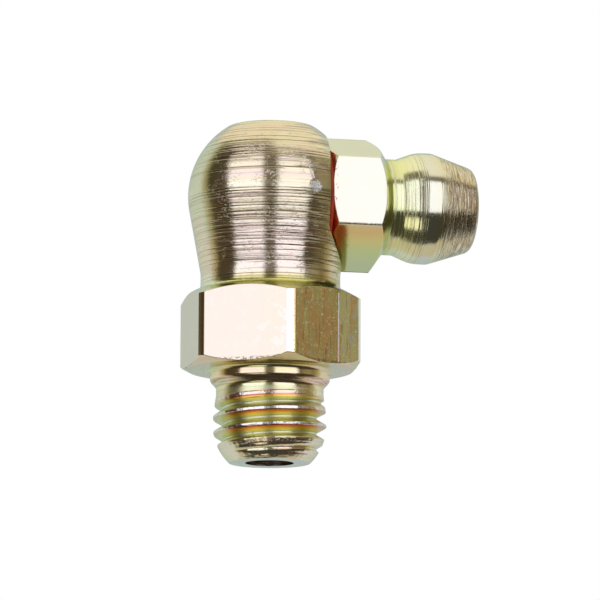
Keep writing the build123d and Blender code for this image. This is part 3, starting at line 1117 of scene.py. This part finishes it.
class ElbowFinish:
    """Yellow zinc on the elbow: rings on turned faces, drawn grain on the flats, a nick and scratches, with
    light and shade painted into its colour in places.

    A zone or a mark is a wire that is 1 where it holds and 0 elsewhere.
    """

    def __init__(self, nodes):
        self.nodes = nodes
        self.place, self.x, self.y, self.z = position(nodes)
        self.radius = (self.x * self.x + self.y * self.y) ** 0.5
        self.aside = towards(self.x, self.y, FRONT_TURN)
        self.around = self.wound(0.05, 0.04)
        self.flecked = nodes.stretched(self.place, (0.6, 0.6, 1.2))
        self.grain = nodes.stretched(self.place, (1, 1, 0.10))
        self.lay_out_zones()
        self.lay_out_wear()
        self.lay_out_damage()

    def wound(self, along_x, along_y):
        """Coordinates for noise in rings round the axis, which change a little with x and y too."""
        return self.nodes.combined(self.radius, self.z, self.x * along_x + self.y * along_y)

    def lay_out_zones(self):
        wall = facing_up(self.nodes).between(0.4, 0.2)
        self.flats = wall * self.z.within(-0.02, 0.02, HEX_TOP - 0.1, HEX_TOP)
        self.off_flats = 1 - self.flats
        self.right_flat = self.flats * towards(self.x, self.y, RIGHT_FLAT).between(*RIGHT_FLAT_FACE)
        self.head = self.z.between(*HEAD_FOOT)
        self.bright = self.z.within(*BRIGHT_BAND)
        self.shank = self.z.between(0.02, -0.02)
        self.threads = self.z.between(COLLAR_TAPER_END - 0.1, COLLAR_TAPER_END - 0.3)
        self.lead_in = self.z.between(*LEAD_IN_FILM)
        self.phase = thread_phase(self.x, self.y, self.z)
        self.crest = abs(self.phase - 0.5).between(*CREST_REACH)

    def lay_out_wear(self):
        nodes = self.nodes
        self.worn = nodes.noise(self.around, 0.8, 3, 0.6).between(0.30, 0.62)
        self.patches = nodes.noise(self.place, 1.1, 2).between(0.44, 0.66)
        self.speckle = nodes.noise(self.place, 11.0, 3, 0.65)
        self.flecks = nodes.noise(self.flecked, 9.0, 2, 0.7)
        self.pits = nodes.noise(self.flecked, 7.0, 2, 0.55).between(0.66, 0.72)
        hair = nodes.noise(self.wound(0.02, 0.015), 7.0, 2, 0.6).between(0.57, 0.62)
        self.hairlines = hair * (0.35 + 0.65 * self.worn) * self.head * (1 - 0.75 * self.bright)
        self.scored = scored_lines(self.z, HEAD_MARKS, 0.35 + 0.9 * self.worn) * self.head

    def lay_out_damage(self):
        nodes = self.nodes
        ragged = (nodes.noise(self.place, 5.5, 3, 0.6) - 0.5) * 0.62
        squashed = nodes.stretched(self.place, tuple(NICK_SQUASH))
        nick = near(nodes, squashed, NICK * NICK_SQUASH, NICK_BARE, ragged)
        self.nick = nick * (0.50 + 0.50 * self.speckle.between(0.40, 0.50))
        scratch = near_line(nodes, self.place, SCRATCH_START, SCRATCH_END, SCRATCH_REACH)
        self.scratch = scratch * (1 - 0.6 * self.pits)
        self.upright = near_line(nodes, self.place, FLAT_LINE_START, FLAT_LINE_END, FLAT_LINE_REACH)
        self.speck = near(nodes, self.place, FLAT_SPECK, FLAT_SPECK_REACH, 0)

    def turned_relief(self, fine, broad):
        """Rings, scores, flecks and pits of the turned head."""
        rings = (fine * 0.9 + broad * 0.8) * (0.35 + 0.75 * self.worn)
        rings = rings * (1 - 0.7 * self.bright) * (1 - 0.35 * self.z.between(*SMOOTHED_BELOW))
        scores = self.hairlines * 1.3 + self.scored * 0.8
        flecks = self.flecks.between(0.54, 0.66) * (0.08 + 0.50 * self.patches)
        return rings - scores + flecks + self.pits * self.patches * 0.6

    def rolled_relief(self, fine, broad):
        """Rough crests and lead-in of the thread, and rings on the collar above it."""
        rough = self.nodes.noise(self.flecked, 5.0, 3, 0.6)
        rough = rough * (0.25 + 2.6 * self.crest * self.threads + 1.4 * self.lead_in)
        return rough + (fine * 0.6 + broad * 0.5) * (1 - self.threads)

    def flat_relief(self):
        """Drawn grain and slow waves on the hexagon's flats, and raised stains on the right one."""
        nodes, grain = self.nodes, self.grain
        drawn = nodes.noise(grain, 9.0, 3, 0.7) * 0.16 + nodes.noise(self.place, 3.0, 2) * 0.30
        stains = self.flecks.between(0.60, 0.68) * 1.3 + nodes.noise(grain, 6.0, 3, 0.7) * 0.5
        return drawn * self.flats + stains * self.right_flat

    def relief(self):
        rings = self.wound(0.006, 0.004)
        fine = self.nodes.noise(rings, 11.0, 2, 0.8)
        broad = self.nodes.noise(rings, 3.5, 2, 0.6)
        height = self.turned_relief(fine, broad) * self.off_flats * (1 - self.shank)
        height = height + self.rolled_relief(fine, broad) * self.shank + self.flat_relief()
        height = height + self.speckle * (0.12 + 0.90 * self.nick)
        return height - self.scratch * 0.6 + self.upright * 1.6 + self.speck * 3.0

    def plating(self):
        """Yellow chromate over zinc: gold that drifts to rose and green in streaks round the axis."""
        rosy = self.nodes.noise(self.around, 2.6, 5, 0.75)
        leafy = self.nodes.noise(self.place, 0.33, 2, 0.5)
        return self.nodes.painted(
            GOLD,
            (ROSE, rosy.between(0.46, 0.64) * 0.85),
            (PALE_GOLD, rosy.between(0.50, 0.34)),
            (GREEN, leafy.between(0.50, 0.66) * 0.8),
        )

    def head_tint(self, tint, sway):
        """A pink tint painted into the panels' highlights low on the head's front, the film that thickens in
        bands down the neck, painted light on the neck's left, and painted shade on the neck's right and low
        on the head's right.
        """
        z, aside, off_flats = self.z, self.aside, self.off_flats
        neck_film = self.nodes.film(z + sway * 0.6, NECK_FILM)
        return self.nodes.painted(
            tint,
            # painted highlight: pink where the panels' highlights fall low on the head's front
            (HIGHLIGHT_PINK, abs(aside).between(*HIGHLIGHT_PINK_HALF_WIDTH) * z.within(*HIGHLIGHT_PINK_SPAN) * 0.75),
            (neck_film, (z + sway).between(*NECK_FILM_TOP) * off_flats),
            # painted light on the neck's left side, and painted shade on its right side
            (NECK_PAINTED_LIGHT, z.between(*NECK_PAINTED_LIGHT_TOP) * aside.between(*NECK_PAINTED_LIGHT_SIDE) * off_flats * 0.6),
            (NECK_PAINTED_SHADE, z.between(*NECK_PAINTED_SHADE_TOP) * aside.between(*NECK_PAINTED_SHADE_SIDE) * off_flats * 0.6),
            # painted shade low on the head's right side
            (HEAD_PAINTED_SHADE, z.between(*HEAD_PAINTED_SHADE_TOP) * aside.between(*HEAD_PAINTED_SHADE_SIDE) * off_flats * 0.6),
        )

    def bevel_tint(self, tint):
        """Copper and gold in patches on the hexagon's lower bevel."""
        mottled = self.nodes.noise(self.around, 2.6, 4, 0.7).between(0.46, 0.56)
        bevel = self.nodes.blend(BEVEL_GOLD, BEVEL_COPPER, mottled)
        return self.nodes.blend(tint, bevel, self.z.between(*LOW_BEVEL_TOP) * self.off_flats)

    def shank_tint(self, tint, sway):
        """The film on collar and shank, with pink and green strands."""
        strands = self.nodes.noise(self.wound(0.10, 0.08), 6.0, 3, 0.7) + self.aside * 0.022
        shank = self.nodes.painted(
            self.nodes.film(self.z + sway, SHANK_FILM),
            (STRAND_PINK, strands.between(0.54, 0.62) * 0.8),
            (STRAND_GREEN, strands.between(0.46, 0.38) * 0.8),
            (SAGE, self.lead_in * abs(self.aside).between(*LEAD_IN_SIDE) * 0.8),
        )
        return self.nodes.blend(tint, shank, self.shank * 0.85)

    def thread_tint(self, tint):
        """The bands of film on the thread's flanks, which fade towards both sides."""
        thread = self.nodes.painted(
            self.nodes.film(self.phase, THREAD_FILM),
            (THREAD_SAGE, self.aside.between(*THREAD_SAGE_SIDE) * 0.8),
            (THREAD_TAN, self.aside.between(*THREAD_TAN_SIDE) * 0.7),
            (CREST_GREY, self.crest * self.flecks.between(0.54, 0.62) * 0.5),
        )
        return self.nodes.blend(tint, thread, self.z.within(*THREAD_FILM_SPAN))

    def stains(self):
        """Olive and orange streaks, with yellow, silver and dark ones between them."""
        nodes, grain = self.nodes, self.grain
        streak = nodes.noise(grain, 3.0, 3, 0.65).between(0.42, 0.58)
        yellow = self.x.between(*YELLOW_STAIN_START) * nodes.noise(grain, 2.0, 2).between(0.36, 0.52)
        return nodes.painted(
            STAIN_OLIVE,
            (STAIN_ORANGE, streak),
            (STAIN_YELLOW, yellow),
            (STAIN_SILVER, nodes.noise(self.place, 2.4, 4, 0.7).between(0.56, 0.62) * 0.7),
            (UMBER, nodes.noise(grain, 5.0, 3, 0.7).between(0.56, 0.66) * 0.5),
        )

    def flat_tint(self, tint):
        """The hexagon's flats: pale gold and cream, a painted highlight on the right corner and a painted
        dark reflection on the left one, and one stained flat.
        """
        cream = self.nodes.noise(self.place, 1.6, 4, 0.6).between(0.53, 0.61)
        corner = self.flats * self.radius.between(*CORNER_FACE)
        return self.nodes.painted(
            tint,
            (FLAT_GOLD, self.flats * 0.85),
            (FLAT_CREAM, self.flats * cream * 0.35),
            (FLAT_ROSE, self.flats * self.aside.between(*ROSE_SIDE) * 0.7),
            # a painted highlight on the right corner and a painted dark reflection on the left corner
            (CORNER_HIGHLIGHT, corner * self.aside.between(*HIGHLIGHT_CORNER_SIDE)),
            (CORNER_SHADE, corner * self.aside.between(*SHADED_CORNER_SIDE) * 0.8),
            (self.stains(), self.right_flat),
        )

    def wear_shade_and_glint_tint(self, tint):
        """Dark pits and burr, painted shade in the grooves of the scores and hairlines and inside the
        channel, silver in the nick, the scratch and the speck, and a painted glint on the upright die line.
        """
        scores = (self.hairlines * 0.62).larger(self.scored * 0.85)
        burr = self.flats * self.z.between(*BURR_TOP) * self.flecks.between(0.47, 0.52)
        return self.nodes.painted(
            tint,
            # painted shade in the grooves of the scores and hairlines
            (UMBER, scores * (1 - 0.65 * self.aside.between(*FAINT_MARKS_SIDE))),
            (UMBER, self.pits * self.off_flats * (0.15 + 0.4 * self.patches)),
            (UMBER, burr * 0.9),
            # painted shade inside the grease channel
            (CHANNEL_SHADE, self.radius.between(*CHANNEL_WALL) * self.z.between(*CHANNEL_TOP) * 0.6),
            (NICK_GREY, self.nick * 0.9),
            # silver in the scratch and the speck, and a painted glint on the upright die line
            (SILVER_SCRATCH_AND_GLINT, self.scratch.larger(self.upright) + self.speck),
        )

    def tint(self):
        sway = (self.nodes.noise(self.around, 1.5, 3) - 0.5) * 0.12
        tint = self.head_tint(self.plating(), sway)
        tint = self.bevel_tint(tint)
        tint = self.shank_tint(tint, sway)
        tint = self.thread_tint(tint)
        return self.wear_shade_and_glint_tint(self.flat_tint(tint))

    def roughness(self):
        flanks = self.threads * (1 - self.crest) * (1 - self.lead_in)
        rough = 0.12 + self.speckle.between(0.4, 0.75) * 0.10 + flanks * 0.16
        rough = rough + self.nick * 0.24 + self.scratch * 0.2 + (self.upright + self.speck) * 0.3
        return rough + self.right_flat * (0.06 + 0.16 * self.x.between(*DULL_STAIN_START))


def thread_phase(x, y, z):
    """How far up through a pitch the surface lies: 0 at a root and 0.5 at a crest."""
    turn = x.maths("ARCTAN2", y, x) / (2 * pi)
    return (z / THREAD_PITCH - turn + (THREAD_TURN / 360 - THREAD_FIRST_ROOT / THREAD_PITCH)).fraction()


# =================================== finish of the other pieces ===================================


class NippleFinish:
    """Yellow zinc on the coupling nipple: grained flats, a ringed taper, a polished land and a rough cone,
    with light and shade painted into its colour in places.

    A zone or a mark is a wire that is 1 where it holds and 0 elsewhere.
    """

    def __init__(self, nodes):
        self.nodes = nodes
        self.place, self.x, self.y, self.z = position(nodes)
        self.above = self.z - SOCKET_HEIGHT
        self.radius = (self.y * self.y + self.above * self.above) ** 0.5
        self.lay_out_zones()
        self.lay_out_wear()

    def wound(self, along_y, along_z):
        """Coordinates for noise in rings round the axis, which change a little with y and z too."""
        return self.nodes.combined(self.x, self.radius, self.y * along_y + self.z * along_z)

    def lay_out_zones(self):
        self.flats = self.radius.between(*NIPPLE_FLATS)
        self.land = self.x.within(*LAND_SPAN)
        self.cone = self.x.within(*CONE_SPAN)
        self.taper = self.x.within(*TAPER_SPAN)
        front = self.above * sin(radians(NIPPLE_TURN)) - self.y
        self.low_flat = self.flats * front.between(*LOW_FLAT_FACE) * self.above.between(*LOW_FLAT_TOP)

    def lay_out_wear(self):
        nodes, place = self.nodes, self.place
        self.speckle = nodes.noise(place, 11.0, 3, 0.65)
        self.rings = nodes.noise(self.wound(0.012, 0.009), 12.0, 3, 0.75)
        self.streaks = nodes.noise(nodes.stretched(place, (1.3, 0.12, 0.12)), 7.0, 3, 0.75)
        self.flecks = nodes.noise(nodes.stretched(place, (1.3, 0.7, 0.7)), 9.0, 2, 0.7)
        worn = nodes.noise(nodes.stretched(place, (1, 0.4, 0.4)), 1.0, 3, 0.6).between(0.32, 0.62)
        hair = nodes.noise(self.wound(0.06, 0.05), 7.0, 2, 0.6).between(0.57, 0.62)
        self.hairlines = hair * (self.taper + self.cone * 0.8) * (0.3 + 0.7 * worn)
        self.scored = scored_lines(self.x, COUPLING_MARKS, 0.5 + 0.9 * worn) * (1 - self.land)

    def relief(self):
        nodes, place = self.nodes, self.place
        broad = nodes.noise(self.wound(0.012, 0.009), 4.0, 2, 0.6)
        turned = (self.rings * 0.6 + broad * 0.7) * (1 - 0.93 * self.land) * (1 - 0.7 * self.taper)
        turned = turned - self.hairlines * 0.6 - self.scored * 0.5
        drawn = nodes.noise(nodes.stretched(place, (0.10, 1, 1)), 8.0, 3, 0.7) * 0.10
        drawn = drawn + nodes.noise(place, 3.0, 2) * 0.25
        coarse = (self.streaks * 2.8 + self.flecks.between(0.54, 0.68) * 0.30) * self.cone
        scuffs = self.flecks.between(0.60, 0.70) * self.land * 0.12
        return turned * (1 - self.flats) + drawn * self.flats + coarse + scuffs + self.speckle * 0.10

    def flat_tint(self, tint, drift):
        """The lower front flat, with a painted reflection of the seal's red at its end, and dark flecks on
        the corners.
        """
        seal_reflection = self.low_flat * self.x.between(*SEAL_REFLECTION_END) * self.above.between(*SEAL_REFLECTION_HEIGHT)
        edge = self.radius.between(*NIPPLE_CORNER) * self.flats * self.above.between(*NIPPLE_CORNER_TOP)
        return self.nodes.painted(
            tint,
            (NIPPLE_SAGE, self.nodes.noise(self.place, 0.5, 2).between(0.48, 0.62) * 0.5),
            (self.nodes.film(self.above + drift * 0.4, LOW_FLAT_FILM), self.low_flat),
            # painted reflection of the red seal
            (SEAL_REFLECTION_RED, seal_reflection * 0.9),
            (UMBER, edge * self.flecks.between(0.35, 0.50) * 0.9),
        )

    def cone_tint(self, tint):
        """Browned streaks on the rough cone, painted shade on its lower side, and painted shade and
        highlight in fine streaks round it.
        """
        painted_streaks = self.nodes.noise(self.nodes.stretched(self.place, (1, 0.09, 0.09)), 13.0, 3, 0.75)
        browned = self.cone * self.streaks.between(0.44, 0.56) * self.x.between(*CONE_BROWN_START)
        return self.nodes.painted(
            tint,
            (CONE_BROWN, browned * 0.85),
            # painted shade on the cone's lower side
            (CONE_PAINTED_SHADE, self.cone * self.above.within(*CONE_PAINTED_SHADE_HEIGHT) * 0.6),
            # painted shade and highlight in fine streaks round the cone
            (UMBER, self.cone * painted_streaks.between(0.53, 0.60) * 0.72),
            (CONE_PAINTED_HIGHLIGHT, self.cone * painted_streaks.between(0.45, 0.38) * 0.7),
        )

    def tint(self):
        drift = (self.nodes.noise(self.place, 0.8, 2) - 0.5) * 0.8
        tint = self.nodes.film(self.x + drift * (1 - self.land) * 0.5, NIPPLE_FILM)
        tint = self.flat_tint(tint, drift)
        # painted shade in the grooves of the hairlines and scores
        tint = self.nodes.blend(tint, UMBER, (self.hairlines * 0.20).larger(self.scored * 0.28))
        tint = self.cone_tint(tint)
        traces = self.nodes.noise(self.place, 5.0, 2).between(0.58, 0.64) * self.x.between(*SEAL_TRACE_END)
        return self.nodes.blend(tint, SEAL_TRACE, traces * self.flats * 0.8)

    def roughness(self):
        ringed = self.rings.between(0.42, 0.66) * (self.taper + self.x.within(*NECK_RINGS_SPAN) * 1.5)
        return 0.11 + self.speckle.between(0.4, 0.75) * 0.10 + self.cone * 0.05 + ringed * 0.16


def plated(name, finish):
    """A plated steel, with the colour, roughness and fine relief that its finish gives each point."""
    material, nodes = new_material(name)
    coat = finish(nodes)
    sockets = {
        "Base Color": coat.tint(),
        "Metallic": 1.0,
        "Roughness": coat.roughness(),
        "Normal": nodes.bump(coat.relief(), RELIEF),
        "Specular Tint": (*GLANCING_TINT, 1),
    }
    return surface(nodes, material, sockets)


SEAL_DARK = (0.36, 0.036, 0.010)
SEAL_LIGHT = (0.46, 0.056, 0.014)
BALL_GREY = (0.62, 0.62, 0.64)
SPRING_GREY = (0.45, 0.45, 0.47)


def seal_red():
    """The seal: satin red with a faint unevenness."""
    material, nodes = new_material("seal red")
    place = position(nodes)[0]
    sockets = {
        "Base Color": nodes.ramp(nodes.noise(place, 1.5), (0.3, SEAL_DARK), (0.7, SEAL_LIGHT)),
        "Roughness": 0.55,
        "Specular IOR Level": 0.25,
        "Normal": nodes.bump(nodes.noise(place, 8.0), 0.01, 0.6),
    }
    return surface(nodes, material, sockets)


def bright_steel(name, colour, roughness):
    """Plain polished or drawn steel, with a faint grain."""
    material, nodes = new_material(name)
    grain = nodes.noise(position(nodes)[0], 6.0, 3)
    darker = tuple(0.9 * part for part in colour)
    sockets = {
        "Base Color": nodes.ramp(grain, (0.3, darker), (0.7, colour)),
        "Metallic": 1.0,
        "Roughness": roughness + grain * 0.06,
    }
    return surface(nodes, material, sockets)


# =================================== light, floor and camera ===================================


PALE = (0.68, 0.71, 0.79)
PALE_BEHIND = (0.54, 0.59, 0.69)
OLIVE = (0.42, 0.36, 0.20)
DUSK = (0.068, 0.052, 0.033)
NIGHT = (0.055, 0.053, 0.042)
GAP = (0.165, 0.145, 0.115)
BROWN = (0.29, 0.255, 0.17)
UMBER_WALL = (0.20, 0.155, 0.10)
PEACH = (0.92, 0.88, 0.80)
SAND = (0.58, 0.54, 0.42)
PANEL = (1.17, 1.20, 1.42)
FILL = (1.05, 1.02, 0.86)
WHITE = (1, 1, 1)

# colours round the studio, by degrees to the view's right of the side that the camera is on
STUDIO_RING = [
    (-180, PALE_BEHIND),
    (-140, PALE),
    (-113, PALE),
    (-101, OLIVE),
    (-92, DUSK),
    (-62, DUSK),
    (-50, GAP),
    (50, GAP),
    (59, DUSK),
    (67, BROWN),
    (82, BROWN),
    (90, UMBER_WALL),
    (104, OLIVE),
    (116, PALE),
    (140, PALE),
    (180, PALE_BEHIND),
]

# the two tall panels in degrees, with soft edges: span round to the right, foot and head
LEFT_PANEL = ((-61, -58, -11, -9), (-6.0, -4.0), (36, 33))
RIGHT_PANEL = ((9, 11, 55.5, 58.5), (-9.0, -6.5), (33, 30))

# the low panel and the parts of the walls in degrees, with soft edges: span round to the right, foot, head
FILL_PANEL = (-62, -54, -16, -8)
FILL_PANEL_FOOT = (-46, -41)
FILL_PANEL_HEAD = (-17, -21)
LOW_RIGHT = (52, 60, 106, 122)
LOW_RIGHT_HEAD = (-1, -13)
OVER_RIGHT = (-6, 14, 104, 122)
OVER_RIGHT_FOOT = (40, 46)
OVER_FOOT = (51, 58)
BELOW_HEAD = (-31, -36)

# how far forward the floor below turns from sand to night, as a share of the way to the front
BELOW_FRONT = (-0.40, -0.25)


def view_axes():
    """From the part towards the camera, to the view's right and up the view."""
    azimuth, elevation = radians(VIEW_AZIMUTH), radians(VIEW_ELEVATION)
    front = Vector((sin(azimuth) * cos(elevation), -cos(azimuth) * cos(elevation), sin(elevation)))
    right = Vector((cos(azimuth), sin(azimuth), 0))
    return front, right, front.cross(right)


def risen(rise, start, end):
    """0 where the sine of the elevation is that of the start in degrees, 1 where it is that of the end."""
    return rise.between(sin(radians(start)), sin(radians(end)))


def studio_walls(nodes, turn, tipped_rise, tipped_front):
    """The walls round about, dim at the low right, dark or sandy far below and peach overhead."""
    walls = nodes.ramp(turn / 360 + 0.5, *((place / 360 + 0.5, colour) for place, colour in STUDIO_RING))
    below = risen(tipped_rise, *BELOW_HEAD)
    over_right = risen(tipped_rise, *OVER_RIGHT_FOOT) * turn.within(*OVER_RIGHT)
    return nodes.painted(
        walls,
        (DUSK, risen(tipped_rise, *LOW_RIGHT_HEAD) * turn.within(*LOW_RIGHT)),
        (NIGHT, below * tipped_front.between(*BELOW_FRONT)),
        (SAND, below * tipped_front.between(*reversed(BELOW_FRONT))),
        (PEACH, over_right.larger(risen(tipped_rise, *OVER_FOOT))),
    )


def studio_panels(nodes, walls, turn, rise, tipped_rise):
    """Two tall panels in front, with a lower one under the left panel."""
    tall = sum(
        turn.within(*span) * risen(rise, *foot) * risen(tipped_rise, *head)
        for span, foot, head in (LEFT_PANEL, RIGHT_PANEL)
    )
    fill = turn.within(*FILL_PANEL) * risen(rise, *FILL_PANEL_FOOT) * risen(rise, *FILL_PANEL_HEAD)
    return nodes.painted(walls, (PANEL, tall), (FILL, fill))


def studio_world():
    """The studio round the part, tipped back, with its panels. The camera itself sees plain white."""
    world = bpy.data.worlds.new("studio")
    bpy.context.scene.world = world
    nodes = Nodes(world)
    direction = nodes.node("ShaderNodeTexCoord")["Generated"]
    axes = [tuple(axis) for axis in view_axes()]
    front, side, rise = (nodes.vector("DOT_PRODUCT", direction, axis)["Value"] for axis in axes)
    tip = radians(STUDIO_TIP)
    tipped_front = front * cos(tip) + rise * sin(tip)
    tipped_rise = rise * cos(tip) - front * sin(tip)
    turn = side.maths("ARCTAN2", side, tipped_front) * (180 / pi)
    walls = studio_walls(nodes, turn, tipped_rise, tipped_front)
    colour = studio_panels(nodes, walls, turn, rise, tipped_rise)
    seen = nodes.node("ShaderNodeLightPath")["Is Camera Ray"]
    shown = nodes.blend(colour, WHITE, seen)
    background = nodes.node("ShaderNodeBackground", None, {"Color": shown, "Strength": 1.0})
    nodes.node("ShaderNodeOutputWorld", None, {"Surface": background["Background"]})


def pale_floor():
    """A wide white floor, well below the part and not mirrored in it."""
    square = [(-1, -1), (1, -1), (1, 1), (-1, 1)]
    mesh = bpy.data.meshes.new("floor")
    corners = [(x * FLOOR_REACH * MM, y * FLOOR_REACH * MM, FLOOR_LEVEL * MM) for x, y in square]
    mesh.from_pydata(corners, [], [(0, 1, 2, 3)])
    floor = bpy.data.objects.new("floor", mesh)
    bpy.context.scene.collection.objects.link(floor)
    material, nodes = new_material("floor paint")
    sockets = {"Base Color": (*FLOOR_WHITE, 1), "Roughness": FLOOR_ROUGHNESS}
    floor.data.materials.append(surface(nodes, material, sockets))
    floor.visible_glossy = False


def camera():
    """The camera, a little below the level of the part's middle, with a long lens."""
    front, right, up = view_axes()
    lens = bpy.data.cameras.new("camera")
    lens.sensor_width = SENSOR_WIDTH
    lens.lens = SENSOR_WIDTH * VIEW_DISTANCE / VIEW_WIDTH
    lens.clip_start = NEAREST_SEEN * MM
    lens.clip_end = FARTHEST_SEEN * MM
    holder = bpy.data.objects.new("camera", lens)
    roll = radians(VIEW_ROLL)
    across = right * cos(roll) + up * sin(roll)
    place = Matrix((across, front.cross(across), front)).transposed().to_4x4()
    place.translation = (Vector(VIEW_CENTRE) + front * VIEW_DISTANCE) * MM
    holder.matrix_world = place
    bpy.context.scene.collection.objects.link(holder)
    bpy.context.scene.camera = holder


# =================================== the whole ===================================


def dress(piece, material, body, node):
    """Gives a piece its material and slot and the body that it rides on, and hides the CAD node that it
    stands for.
    """
    piece.data.materials.clear()
    piece.data.materials.append(material)
    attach(piece, body)
    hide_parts(node)


def dress_spring(material):
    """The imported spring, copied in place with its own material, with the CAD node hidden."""
    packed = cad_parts["ball_spring"]
    spring = bpy.data.objects.new("spring", packed.data.copy())
    bpy.context.scene.collection.objects.link(spring)
    spring.matrix_world = packed.matrix_world.copy()
    spring.data.materials.clear()
    spring.data.materials.append(material)
    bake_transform(spring)
    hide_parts("ball_spring")


dress(elbow_body(), plated("elbow zinc", ElbowFinish), "fitting", "elbow_body")
dress(nipple_body(), plated("nipple zinc", NippleFinish), "fitting", "nipple_body")
dress(seal_ring(), seal_red(), "fitting", "seal_ring")
dress(check_ball(), bright_steel("ball steel", BALL_GREY, 0.08), "ball", "check_ball")
dress_spring(bright_steel("spring steel", SPRING_GREY, 0.3))

studio_world()
pale_floor()
camera()
bpy.context.scene.view_settings.view_transform = "Standard"
